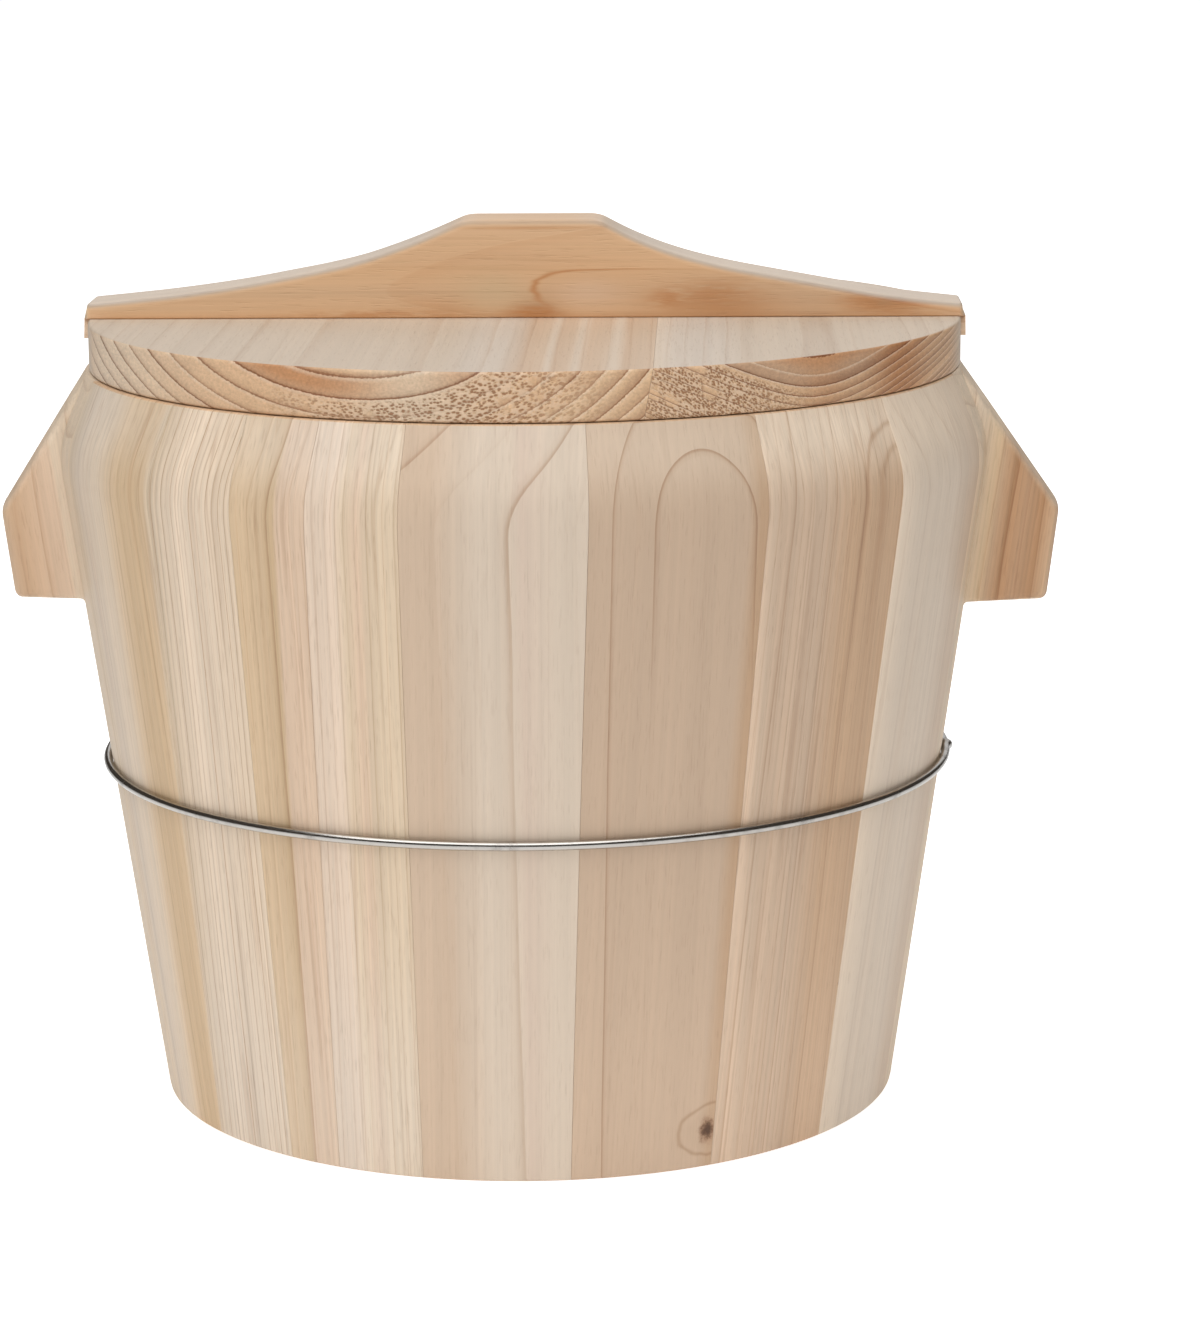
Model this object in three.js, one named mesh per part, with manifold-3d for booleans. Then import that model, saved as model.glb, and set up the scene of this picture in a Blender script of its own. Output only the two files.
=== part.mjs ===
// Coopered wooden rice steamer: a tapered tub of staves in a wire hoop, a loose lid with a humped
// batten, and a slatted steam grate on a cross of bars over the open base.
// Millimetres, +Z up, origin at the middle of the base. The front is -Y and the ears are on the X axis.
import * as THREE from 'three';
import { mergeVertices } from 'three/addons/utils/BufferGeometryUtils.js';
import Module from 'manifold-3d';

const wasm = await Module();
wasm.setup();

// Fits and facets
const fitGap = 0.3; // between pieces that touch
const ringFacets = 120; // round a full turn
const pinFacets = 10;
const wireFacets = 10;

// Tub, turned outside and inside to one taper, with a shoulder below the rim
const tubHeight = 233;
const baseRadius = 117.6; // outside
const shoulderRadius = 147.5; // outside
const shoulderDrop = 22.5; // below the rim
const shoulderBlend = 8; // length of the rounding on each side of the shoulder
const wall = 20; // measured level
const rimWidth = 7.3; // flat of the rim that the lid sits on
const baseEase = 1.5; // chamfer round the foot

// Board widths at the shoulder, from the left ear stave round to the right one, then along the back
const earStaveWidth = 84;
const frontStaveWidths = [60, 32, 27, 30, 57, 56, 56, 59];
const backStaveWidths = [41, 59, 51, 62, 49, 64, 51];

// Ears, each in one piece with its stave
const earWidth = 48;
const earFaceLean = 5.8; // degrees, outer face, inwards going down
const earUnderRise = 4; // degrees, underside, upwards going out
const earFillet = 4; // in the corner under the ear
const ears = [
  { side: -1, reach: 21.4, drop: 43.3, face: 26.2 },
  { side: 1, reach: 25.2, drop: 45.5, face: 27.7 },
];

// Bamboo pins across the stave joints, at two heights in turn
const pinDiameter = 5;
const pinLength = 20;
const pinHeights = [140, 175];

// Wire hoop, driven on from below, with its ends welded
const wireDiameter = 2.8;
const hoopHeight = 108.4;
const weldAngle = 79; // degrees from the front, towards +X
const weldLength = 7;
const weldDiameter = 4;

// Lid of two boards, flush with the tub's rim and located in its mouth by a rabbet
const lidRim = 14.6; // height of the rim that shows
const lidEase = 1; // chamfer on the rim's two edges
const lidSeatGap = 0.4;
const rabbetDepth = 6;
const rabbetClearance = 1.2;
const lidTurn = -2.5; // degrees, as the loose lid sits
const boardJoint = 40.8; // the joint's place along the batten, at half of the rim
const boardJointSlant = 10; // degrees from upright
const dowelDiameter = 6;
const dowelLength = 40;
const dowelSpread = 140; // between the two dowels

// Batten, a humped plank with a dovetail tail
const battenOverhang = 1.2; // past the lid at each end
const battenThickness = 24;
const battenEndHeight = 4.5;
const battenEndRound = 2.5;
const humpHeight = 30.7;
const humpFlat = 41.2;
const humpOffset = 3.5;
const flankReach = 39; // from the hump's edge out to where its two slopes would meet
const flankHeight = 12.6;
const tailDepth = 6;
const tailNeck = 18;
const tailBase = 22;

// Cross of bars that carries the grate
const barWidth = 14;
const barHeight = 16;
const barUnderside = 14; // above the base
const mortiseDepth = 10;
const crossTurn = 45; // degrees

// Steam grate
const bearerWidth = 12;
const bearerHeight = 12;
const bearerInset = 51.7; // from the grate's round outline to the middle of a bearer
const slatCount = 9;
const slatWidth = 14;
const slatThickness = 9;
const slatSeat = 3; // depth of the notches in the bearers
const slatMargin = 10.7; // from the grate's round outline to the outermost slat
const grateClearance = 1.5; // to the tub's wall

// Heights and radii that follow
const shoulderHeight = tubHeight - shoulderDrop;
const taper = (shoulderRadius - baseRadius) / shoulderHeight;
const outerAt = (z) => baseRadius + taper * z;
const innerAt = (z) => outerAt(z) - wall;
const midWallAt = (z) => outerAt(z) - wall / 2;
const mouthRadius = innerAt(tubHeight);
const rimRadius = mouthRadius + rimWidth;
const lidSeat = tubHeight + lidSeatGap;
const lidUnderside = lidSeat - rabbetDepth;
const lidTop = lidSeat + lidRim;
const bearerUnderside = barUnderside + barHeight + fitGap;
const bearerTop = bearerUnderside + bearerHeight;
const slatUnderside = bearerTop - slatSeat + fitGap;
const grateRadius = innerAt(slatUnderside) - grateClearance;
const bearerPlace = grateRadius - bearerInset;
const slatPitch = (2 * (grateRadius - slatMargin) - slatWidth) / (slatCount - 1);
const slatPlaces = Array.from({ length: slatCount }, (_, i) => (i - (slatCount - 1) / 2) * slatPitch);

const radians = THREE.MathUtils.degToRad;
const tangent = (degrees) => Math.tan(radians(degrees));

// Wood and wire
function wood(color, roughness = 0.72) {
  return new THREE.MeshStandardMaterial({ color, roughness, metalness: 0 });
}
const staveColors = [0xd9c3a5, 0xdecbb2, 0xd0b692, 0xddc7ae, 0xd6c2a8, 0xcfb696, 0xd3b797, 0xcdbda6];
const staveWoods = staveColors.map((color) => wood(color));
const earWood = wood(0xcfae8b);
const leftBoardWood = wood(0xd3c2a8);
const rightBoardWood = wood(0xcfbfa8);
const battenWood = wood(0xd3a578, 0.6);
const grateWood = wood(0xd7bf9c);
const bamboo = wood(0xd8bf86, 0.55);
const steel = new THREE.MeshStandardMaterial({ color: 0x9c9890, roughness: 0.25, metalness: 1 });

// A closed geometry as a solid that can be joined and cut
function solid(geometry) {
  const bare = geometry.clone();
  bare.deleteAttribute('normal');
  bare.deleteAttribute('uv');
  const merged = mergeVertices(bare, 1e-4);
  const corners = merged.index.array;
  const kept = [];
  for (let i = 0; i < corners.length; i += 3) {
    const [a, b, c] = corners.slice(i, i + 3);
    if (a !== b && b !== c && c !== a) {
      kept.push(a, b, c);
    }
  }
  const vertProperties = new Float32Array(merged.attributes.position.array);
  return new wasm.Manifold(new wasm.Mesh({ numProp: 3, vertProperties, triVerts: new Uint32Array(kept) }));
}

// A solid back as a geometry
function surface(body) {
  const mesh = body.getMesh();
  const geometry = new THREE.BufferGeometry();
  geometry.setAttribute('position', new THREE.BufferAttribute(mesh.vertProperties.slice(), 3));
  geometry.setIndex(new THREE.BufferAttribute(mesh.triVerts.slice(), 1));
  geometry.computeVertexNormals();
  return geometry;
}

function piece(name, geometry, material) {
  const mesh = new THREE.Mesh(geometry, material);
  mesh.name = name;
  return mesh;
}

// Turns a profile of (radius, height) points about Z, from the front towards +X
function turned(points) {
  return new THREE.LatheGeometry(points, ringFacets).rotateX(Math.PI / 2);
}

function closedProfile(path, divisions) {
  const points = path.getPoints(divisions);
  return [...points, points[0].clone()];
}

function outline(corners) {
  return new THREE.Shape(corners.map(([x, y]) => new THREE.Vector2(x, y)));
}

// Extrudes an outline of (x, y) up from z = 0
function standing(shape, depth, curveSegments = 4) {
  return new THREE.ExtrudeGeometry(shape, { depth, bevelEnabled: false, curveSegments });
}

// Extrudes an outline of (x, z) along Y, centred
function alongY(shape, length, curveSegments) {
  return standing(shape, length, curveSegments).rotateX(Math.PI / 2).translate(0, length / 2, 0);
}

// Extrudes an outline of (y, z) along X, centred
function alongX(shape, length) {
  return standing(shape, length).rotateX(Math.PI / 2).rotateZ(Math.PI / 2).translate(-length / 2, 0, 0);
}

// A round pin along X, centred
function roundPin(diameter, length) {
  return new THREE.CylinderGeometry(diameter / 2, diameter / 2, length, pinFacets).rotateZ(Math.PI / 2);
}

function pinHole(diameter, length) {
  return roundPin(diameter + 2 * fitGap, length + 2 * fitGap);
}

// The whole tub wall before it is parted into staves
function tubWall() {
  const chamfer = new THREE.Vector2(rimRadius - shoulderRadius, shoulderDrop).setLength(shoulderBlend);
  const blendFoot = shoulderHeight - shoulderBlend;
  const profile = new THREE.Path()
    .moveTo(baseRadius - baseEase, 0)
    .lineTo(outerAt(baseEase), baseEase)
    .lineTo(outerAt(blendFoot), blendFoot)
    .quadraticCurveTo(
      shoulderRadius,
      shoulderHeight,
      shoulderRadius + chamfer.x,
      shoulderHeight + chamfer.y,
    )
    .lineTo(rimRadius, tubHeight)
    .lineTo(mouthRadius, tubHeight)
    .lineTo(innerAt(0), 0);
  return solid(turned(closedProfile(profile, 4)));
}

// An ear: a turned profile that slopes from the rim, sawn to the ear's width
function ear({ side, reach, drop, face }) {
  const tipHeight = tubHeight - drop;
  const tipRadius = outerAt(tipHeight) + reach;
  const lowHeight = tipHeight - face;
  const lowRadius = tipRadius - face * tangent(earFaceLean);
  const cornerHeight = lowHeight - (lowRadius - outerAt(lowHeight)) * tangent(earUnderRise);
  const cornerRadius = outerAt(cornerHeight);
  const filletFoot = cornerHeight - earFillet;
  const profile = new THREE.Path()
    .moveTo(midWallAt(filletFoot), filletFoot)
    .lineTo(outerAt(filletFoot), filletFoot)
    .quadraticCurveTo(
      cornerRadius,
      cornerHeight,
      cornerRadius + earFillet,
      cornerHeight + earFillet * tangent(earUnderRise),
    )
    .lineTo(lowRadius, lowHeight)
    .lineTo(tipRadius, tipHeight)
    .lineTo(rimRadius, tubHeight)
    .lineTo(mouthRadius + rimWidth / 2, tubHeight);
  const slab = new THREE.BoxGeometry(2 * tipRadius, earWidth, 2 * tubHeight);
  slab.translate(side * tipRadius, 0, 0);
  return solid(turned(closedProfile(profile, 3))).intersect(solid(slab));
}

// The staves in order round the tub, each with its two edges in degrees from the front
function staveList() {
  const earHalf = THREE.MathUtils.radToDeg(Math.asin(earStaveWidth / 2 / shoulderRadius));
  const arc = 180 - 2 * earHalf;
  const shared = (side, widths, start) => {
    const total = widths.reduce((sum, width) => sum + width, 0);
    let from = start;
    return widths.map((width, i) => {
      const stave = { name: `${side}_stave_${i + 1}`, from, to: from + (arc * width) / total };
      from = stave.to;
      return stave;
    });
  };
  return [
    ...shared('front', frontStaveWidths, earHalf - 90),
    { name: 'right_ear_stave', from: 90 - earHalf, to: 90 + earHalf, material: earWood },
    ...shared('back', backStaveWidths, 90 + earHalf),
    { name: 'left_ear_stave', from: 270 - earHalf, to: 270 + earHalf, material: earWood },
  ];
}

// The wedge of space that one stave fills, half a fit gap clear of each joint plane
function staveWedge({ from, to }) {
  const edge = (degrees, push) => {
    const outwards = new THREE.Vector2(Math.sin(radians(degrees)), -Math.cos(radians(degrees)));
    const sideways = new THREE.Vector2(-outwards.y, outwards.x).multiplyScalar(push);
    return [innerAt(0) / 2, 2 * shoulderRadius].map((r) => outwards.clone().multiplyScalar(r).add(sideways));
  };
  const [nearFrom, farFrom] = edge(from, fitGap / 2);
  const [nearTo, farTo] = edge(to, -fitGap / 2);
  const shape = new THREE.Shape([nearFrom, farFrom, farTo, nearTo]);
  return solid(standing(shape, 3 * tubHeight).translate(0, 0, -tubHeight));
}

// Where the pin of each joint sits, half way through the wall
function pinPlaces(staves) {
  return staves.map((stave, i) => {
    const z = pinHeights[i % pinHeights.length];
    const turn = radians(stave.to);
    const position = new THREE.Vector3(0, -midWallAt(z), z).applyAxisAngle(new THREE.Vector3(0, 0, 1), turn);
    return { position, turn };
  });
}

function tub() {
  const group = new THREE.Group();
  const staves = staveList();
  const pins = pinPlaces(staves);
  let shell = tubWall();
  for (const spec of ears) {
    shell = shell.add(ear(spec));
  }
  for (const { position, turn } of pins) {
    const hole = pinHole(pinDiameter, pinLength).rotateZ(turn).translate(...position.toArray());
    shell = shell.subtract(solid(hole));
  }
  for (const turn of [crossTurn, crossTurn + 90]) {
    const mortises = barBlank(mortiseDepth, fitGap).rotateZ(radians(turn));
    shell = shell.subtract(solid(mortises.translate(0, 0, barUnderside + barHeight / 2)));
  }
  staves.forEach((stave, i) => {
    const material = stave.material ?? staveWoods[i % staveWoods.length];
    group.add(piece(stave.name, surface(shell.intersect(staveWedge(stave))), material));
  });
  pins.forEach(({ position, turn }, i) => {
    const pin = piece(`stave_pin_${i + 1}`, roundPin(pinDiameter, pinLength), bamboo);
    pin.position.copy(position);
    pin.rotation.z = turn;
    group.add(pin);
  });
  return group;
}

// A level wire ring on the taper, with the bead where its ends meet
function hoop() {
  const seatedAt = (diameter) => outerAt(hoopHeight) + (diameter / 2 + fitGap) * Math.hypot(1, taper);
  const ring = new THREE.TorusGeometry(seatedAt(wireDiameter), wireDiameter / 2, wireFacets, ringFacets);
  const bead = new THREE.SphereGeometry(weldDiameter / 2, 12, 8).scale(weldLength / weldDiameter, 1, 1);
  bead.translate(0, -seatedAt(weldDiameter), 0).rotateZ(radians(weldAngle));
  const wire = piece('wire_hoop', surface(solid(ring).add(solid(bead))), steel);
  wire.position.z = hoopHeight;
  return wire;
}

// The sliding dovetail along X, grown on all sides by a clearance for its groove
function dovetail(length, grow = 0) {
  const mouth = lidTop + fitGap;
  const floor = lidTop - tailDepth - grow;
  const neck = tailNeck / 2 + grow;
  const base = tailBase / 2 + grow;
  return solid(alongX(outline([[-base, floor], [base, floor], [neck, mouth], [-neck, mouth]]), length));
}

// The round lid before its boards are parted
function lidDisc(dowelPlaces) {
  const bossRadius = innerAt(lidUnderside) - rabbetClearance;
  const profile = [
    [0, lidUnderside],
    [bossRadius, lidUnderside],
    [bossRadius, lidSeat],
    [rimRadius - lidEase, lidSeat],
    [rimRadius, lidSeat + lidEase],
    [rimRadius, lidTop - lidEase],
    [rimRadius - lidEase, lidTop],
    [0, lidTop],
  ];
  let disc = solid(turned(profile.map(([r, z]) => new THREE.Vector2(r, z))));
  disc = disc.subtract(dovetail(3 * rimRadius, fitGap));
  for (const place of dowelPlaces) {
    disc = disc.subtract(solid(pinHole(dowelDiameter, dowelLength).translate(...place.toArray())));
  }
  return disc;
}

// The space on one side of the slanted board joint
function boardSide(side) {
  const middle = lidSeat + lidRim / 2;
  const [low, high] = [lidUnderside - rabbetDepth, lidTop + rabbetDepth];
  const joint = (z) => boardJoint + (z - middle) * tangent(boardJointSlant) + (side * fitGap) / 2;
  const far = side * 2 * rimRadius;
  const corners = [[far, low], [joint(low), low], [joint(high), high], [far, high]];
  return solid(alongY(outline(corners), 3 * rimRadius));
}

function lid() {
  const group = new THREE.Group();
  const halfThickness = (lidUnderside + lidTop) / 2;
  const dowelPlaces = [-dowelSpread / 2, dowelSpread / 2].map(
    (y) => new THREE.Vector3(boardJoint, y, halfThickness),
  );
  const disc = lidDisc(dowelPlaces);
  group.add(piece('lid_board_left', surface(disc.intersect(boardSide(-1))), leftBoardWood));
  group.add(piece('lid_board_right', surface(disc.intersect(boardSide(1))), rightBoardWood));
  dowelPlaces.forEach((place, i) => {
    const dowel = piece(`lid_dowel_${i + 1}`, roundPin(dowelDiameter, dowelLength), bamboo);
    dowel.position.copy(place);
    group.add(dowel);
  });
  group.add(piece('lid_batten', surface(batten()), battenWood));
  group.rotation.z = radians(lidTurn);
  return group;
}

// The plank is sawn to a flat hump with hollow flanks that run out to thin ends
function batten() {
  const end = rimRadius + battenOverhang;
  const foot = lidTop + fitGap;
  const endTop = lidTop + battenEndHeight;
  const humpTop = lidTop + humpHeight;
  const flank = lidTop + flankHeight;
  const round = Math.min(battenEndRound, battenEndHeight / 2);
  const left = humpOffset - humpFlat / 2;
  const right = humpOffset + humpFlat / 2;
  const shape = new THREE.Shape()
    .moveTo(-end, foot)
    .lineTo(end, foot)
    .lineTo(end, endTop - round)
    .quadraticCurveTo(end, endTop, end - round, endTop)
    .quadraticCurveTo(right + flankReach, flank, right, humpTop)
    .lineTo(left, humpTop)
    .quadraticCurveTo(left - flankReach, flank, round - end, endTop)
    .quadraticCurveTo(-end, endTop, -end, endTop - round);
  return solid(alongY(shape, battenThickness, 9)).add(dovetail(2 * end));
}

// A bar that reaches into the wall on both sides, or grown by a clearance for its mortises
function barBlank(depth, grow = 0) {
  const length = 2 * (innerAt(barUnderside) + depth);
  return new THREE.BoxGeometry(length, barWidth + 2 * grow, barHeight + 2 * grow);
}

// Two bars halved into each other where they cross
function crossBars() {
  const group = new THREE.Group();
  const halving = new THREE.BoxGeometry(barWidth + 2 * fitGap, 2 * barWidth, barHeight + fitGap);
  [['cross_bar_upper', -1], ['cross_bar_lower', 1]].forEach(([name, cutSide], i) => {
    const cut = halving.clone().translate(0, 0, (cutSide * barHeight) / 2);
    const bar = solid(barBlank(mortiseDepth - fitGap)).subtract(solid(cut));
    const mesh = piece(name, surface(bar), grateWood);
    mesh.position.z = barUnderside + barHeight / 2;
    mesh.rotation.z = radians(crossTurn + 90 * i);
    group.add(mesh);
  });
  return group;
}

// A bearer along Y with a notch for each slat, short enough to clear the wall
function bearer() {
  const outerEdge = bearerPlace + bearerWidth / 2;
  const length = 2 * Math.sqrt((innerAt(bearerUnderside) - grateClearance) ** 2 - outerEdge ** 2);
  let body = solid(new THREE.BoxGeometry(bearerWidth, length, bearerHeight));
  for (const place of slatPlaces) {
    const notch = new THREE.BoxGeometry(2 * bearerWidth, slatWidth + 2 * fitGap, 2 * slatSeat);
    body = body.subtract(solid(notch.translate(0, place, bearerHeight / 2)));
  }
  return surface(body);
}

// A slat with its ends sawn to the grate's round outline
function slat(place) {
  const near = Math.asin((place - slatWidth / 2) / grateRadius);
  const far = Math.asin((place + slatWidth / 2) / grateRadius);
  const shape = new THREE.Shape()
    .absarc(0, 0, grateRadius, near, far, false)
    .absarc(0, 0, grateRadius, Math.PI - far, Math.PI - near, false);
  return standing(shape, slatThickness);
}

function grate() {
  const group = new THREE.Group();
  for (const [name, side] of [['grate_bearer_left', -1], ['grate_bearer_right', 1]]) {
    const mesh = piece(name, bearer(), grateWood);
    mesh.position.set(side * bearerPlace, 0, bearerUnderside + bearerHeight / 2);
    group.add(mesh);
  }
  slatPlaces.forEach((place, i) => {
    const mesh = piece(`grate_slat_${i + 1}`, slat(place), grateWood);
    mesh.position.z = slatUnderside;
    group.add(mesh);
  });
  return group;
}

const steamer = new THREE.Group();
steamer.add(tub(), hoop(), lid(), crossBars(), grate());

export default steamer;
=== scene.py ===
import math

import bmesh
import bpy
from mathutils import Matrix, Vector


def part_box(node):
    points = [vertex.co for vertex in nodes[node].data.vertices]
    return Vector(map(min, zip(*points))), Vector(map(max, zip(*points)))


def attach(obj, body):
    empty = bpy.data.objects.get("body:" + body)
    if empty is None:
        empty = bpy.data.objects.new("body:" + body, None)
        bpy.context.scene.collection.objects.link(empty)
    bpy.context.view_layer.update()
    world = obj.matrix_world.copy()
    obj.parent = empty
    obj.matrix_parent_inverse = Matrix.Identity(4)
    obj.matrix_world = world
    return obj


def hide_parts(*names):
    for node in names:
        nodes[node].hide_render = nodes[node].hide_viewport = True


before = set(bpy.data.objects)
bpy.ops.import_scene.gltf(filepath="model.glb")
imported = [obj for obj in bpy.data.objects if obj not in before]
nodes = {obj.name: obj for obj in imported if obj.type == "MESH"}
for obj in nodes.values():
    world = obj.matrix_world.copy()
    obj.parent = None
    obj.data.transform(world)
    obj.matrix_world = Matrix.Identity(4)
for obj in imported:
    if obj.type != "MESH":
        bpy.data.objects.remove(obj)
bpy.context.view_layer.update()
mm = 0.001
print("frame loaded:", len(nodes), "nodes")


# Shader sockets that can be added, multiplied and so on
class Sock:
    def __init__(self, tree, socket=None):
        self.tree = tree
        self.socket = socket

    def node(self, kind, settings=None, inputs=None, output=0):
        made = self.tree.nodes.new(kind)
        for key, value in (settings or {}).items():
            if key == "stops":
                fillRamp(made.color_ramp, value)
            else:
                setattr(made, key, value)
        for key, value in (inputs or {}).items():
            if isinstance(value, Sock):
                self.tree.links.new(value.socket, made.inputs[key])
            else:
                made.inputs[key].default_value = value
        return Sock(self.tree, made.outputs[output] if len(made.outputs) else None)

    def math(self, operation, *values):
        return self.node("ShaderNodeMath", {"operation": operation}, dict(enumerate(values)))

    def vector(self, operation, *values, output=0):
        return self.node("ShaderNodeVectorMath", {"operation": operation}, dict(enumerate(values)), output)

    def step(self, low, high):  # smooth 0 to 1 as the value goes from low to high
        inputs = {"Value": self, "From Min": low, "From Max": high}
        return self.node("ShaderNodeMapRange", {"interpolation_type": "SMOOTHSTEP"}, inputs)

    def mix(self, factor, a, b, blend="MIX"):
        settings = {"data_type": "RGBA", "blend_type": blend}
        return self.node("ShaderNodeMix", settings, {0: factor, 6: a, 7: b}, 2)

    def ramp(self, stops, interpolation="LINEAR"):
        made = self.node("ShaderNodeValToRGB", {"stops": stops}, {0: self})
        made.socket.node.color_ramp.interpolation = interpolation
        return made

    def fade(self):  # 1 at 0, falling towards 0 above it
        return self.math("EXPONENT", self * -1)

    def parts(self):  # x, y and z
        made = self.node("ShaderNodeSeparateXYZ", {}, {0: self})
        return [Sock(self.tree, socket) for socket in made.socket.node.outputs]

    def __add__(self, other):
        return self.math("ADD", self, other)

    def __radd__(self, other):
        return self.math("ADD", other, self)

    def __sub__(self, other):
        return self.math("SUBTRACT", self, other)

    def __rsub__(self, other):
        return self.math("SUBTRACT", other, self)

    def __mul__(self, other):
        return self.math("MULTIPLY", self, other)

    def __truediv__(self, other):
        return self.math("DIVIDE", self, other)

    def __pow__(self, other):
        return self.math("POWER", self, other)

    def __abs__(self):
        return self.math("ABSOLUTE", self)


def fillRamp(ramp, stops):
    while len(ramp.elements) < len(stops):
        ramp.elements.new(1)
    for element, (position, value) in zip(ramp.elements, stops):
        element.position = position
        element.color = value if hasattr(value, "__len__") else (value, value, value, 1)


# Wood tones as they look on the screen
tones = {
    "cream": "dcc9b3",
    "pale": "d7c3ab",
    "blush": "d6bba1",
    "beige": "d1bca1",
    "sand": "cfb492",
    "tan": "c7ab87",
    "rose": "c4aa91",
    "rust": "bf9e7e",
    "amber": "cba681",
    "honey": "cca985",
    "ember": "b57d4c",
    "clay": "b5906f",
    "ash": "c6b6a4",
    "mist": "cdbca9",
    "linen": "c6b8a9",
    "flax": "c4b3a0",
    "chalk": "d3c8bb",
    "dove": "c9b5a3",
    "fawn": "c6ae96",
    "petal": "d8c3ae",
    "peach": "d1aa82",
    "apricot": "cfa57d",
    "wheat": "d9b68f",
    "sienna": "ab825d",
    "bark": "8a5d3a",
    "umber": "5a3c26",
    "bamboo": "d8c08c",
}


def screenToLinear(c):
    return c / 12.92 if c <= 0.04045 else ((c + 0.055) / 1.055) ** 2.4


def tone(name, gain=1):
    code = tones[name]
    channels = [int(code[i:i + 2], 16) / 255 for i in (0, 2, 4)]
    return (*[gain * screenToLinear(c) for c in channels], 1)


def newMaterial(name):
    material = bpy.data.materials.new(name)
    material.use_nodes = True
    material.node_tree.nodes.clear()
    return material, Sock(material.node_tree)


def surfaceOutput(sock, inputs):
    shader = sock.node("ShaderNodeBsdfPrincipled", {}, inputs)
    sock.node("ShaderNodeOutputMaterial", {}, {"Surface": shader})


# What one board's grain is made of, in mm. A board sets what differs.
plainGrain = {
    "origin": (0, 0, 0),
    "along": (0, 0, 1),  # the way the fibres run
    "across": (1, 0, 0),  # over the board's width
    "out": (0, -1, 0),  # through its thickness, to the face that shows
    "width": 60,
    "deep": 1,  # how much longer the fibres' pattern is through the thickness
    "fan": None,  # a stave's two joints, each by its angle at the foot and at the shoulder
    "toneAxis": "across",
    "tones": [(0, "beige"), (1, "beige")],
    "toneWander": 0.08,
    "toneLean": 0,  # how far the tones drift for each mm along
    "gain": 1,
    "pith": (0, -60),  # middle of the rings, across and out
    "lean": (0, 0),  # how the pith drifts for each mm along
    "squash": 1,  # below 1 for rings that are wider than deep
    "fold": None,  # set for rings that run straight on both sides of a rounded fold
    "wander": 5,
    "ringWidth": 9,
    "growth": 1,  # 2 for rings that get thinner outwards
    "uneven": 0.35,
    "ringShift": 0,
    "ringForce": [0.7, 1, 0.45, 0.85, 0.35, 0.6, 1, 0.5],  # strength of the rings in turn
    "lowForce": None,  # the same further down the board, where it differs
    "lowBetween": (140, 205),  # heights between which one gives way to the other
    "lateDepth": 0.4,
    "lateRise": 0.72,  # where in a ring the darkening starts
    "lateTint": (0.62, 0.47, 0.36, 1),
    "streak": 0.10,
    "hair": 0.3,
    "fleck": 0.2,
    # the tone that faces turned up are painted, a painted highlight
    "paintedTopTone": None,
    "paintedEdgeShade": 0,  # painted shade: how much darker the edge round the top is painted
    "paintedTopSpared": None,  # where the top is spared the painted top light and keeps the face's colour, (along, half length, strength)
    "knots": [],  # (across, along, half width, half length, reach of the ring round it)
    "stainsAndPaintedLight": [],  # (across, along, half width, half length, tone, strength): real stains, and painted light such as paler shoulders and feet
    "patches": [],  # the same, broken up along the fibres
    "eyes": [],  # one ring that closes on itself, (across, along, half width, half length, tone)
    "arches": [],  # rings that arch over and run down, (across, along, half width, rise, strength)
    "endTones": [(0, "honey"), (90, "honey")],  # end grain by distance from the pith
    "endStains": [],
    "endDepth": 0.5,
    "endFacing": (0.6, 0.9),  # how far a face is turned before its end grain shows
    "broadFrom": None,  # where across the board the dark rings get broad at its end
    "torn": None,  # stretch of rough end grain, (across, half width)
    "tornFrom": 0,  # no rough end grain nearer to the pith
    "tornFade": 0,  # how far the rings fade in it
    "roughness": 0.53,
    "seed": 0,
}

# Noise in the wood: cells across and along in mm, detail, roughness and where it starts
grainNoise = {
    "bend": (45, 190, 2, 0.45, 0),
    "ragged": (0.7, 5, 2, 0.6, 7.7),
    "drift": (14, 420, 2, 0.5, 2.3),
    "broken": (1.3, 9, 3, 0.65, 1.7),
    "torn": (7, 7, 2, 0.5, 3.3),
    "streak": (1.1, 190, 3, 0.65, 4.1),
    "band": (7, 300, 2, 0.5, 6.7),
    "hair": (4, 600, 1, 0.5, 9.7),
    "hairGap": (6, 60, 1, 0.5, 3.9),
    "fleck": (0.42, 7, 1, 0.5, 8.9),
    "grit": (0.8, 6, 3, 0.7, 5.9),
    "pit": (1.6, 6, 3, 0.65, 8.3),
    "eye": (5, 40, 2, 0.5, 6.1),
    "arch": (8, 70, 2, 0.5, 2.9),
    "knot": (1.6, 2, 3, 0.65, 5.5),
    "knotRing": (9, 12, 2, 0.5, 7.1),
}

# How dark a ring is from its start to its end, on a face and at a board's end
ringShapes = {
    "late": [(0, 0.04), (0.55, 0.3), (0.75, 0.75), (0.85, 1), (0.95, 0.9), (1, 0)],
    "end": [(0, 0), (0.5, 0.04), (0.78, 0.22), (0.89, 0.55), (0.93, 1), (0.98, 1), (1, 0)],
    "broadEnd": [(0, 0), (0.25, 0.14), (0.5, 0.38), (0.86, 0.6), (0.92, 1), (0.97, 1), (1, 0)],
}

# Tints and depths that all boards share
grainLook = {
    "endRing": (0.36, 0.22, 0.15, 1),
    "hair": (0.6, 0.44, 0.33, 1),
    "fleck": (0.5, 0.38, 0.3, 1),
    "knotRing": (0.66, 0.56, 0.45, 1),
    "endReach": 90,  # where the end tones end
    "endCover": 0.9,
    "ringStartHighlightStrength": 0.4,
    "paintedTopCover": 0.92,
    "grit": 0.7,
    "pitCell": (0.72, 0.8, 6),  # away from the pith, round it and along
    "pitTurn": 40,
    "bump": {"Strength": 0.5, "Distance": 0.0003},
}


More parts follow.
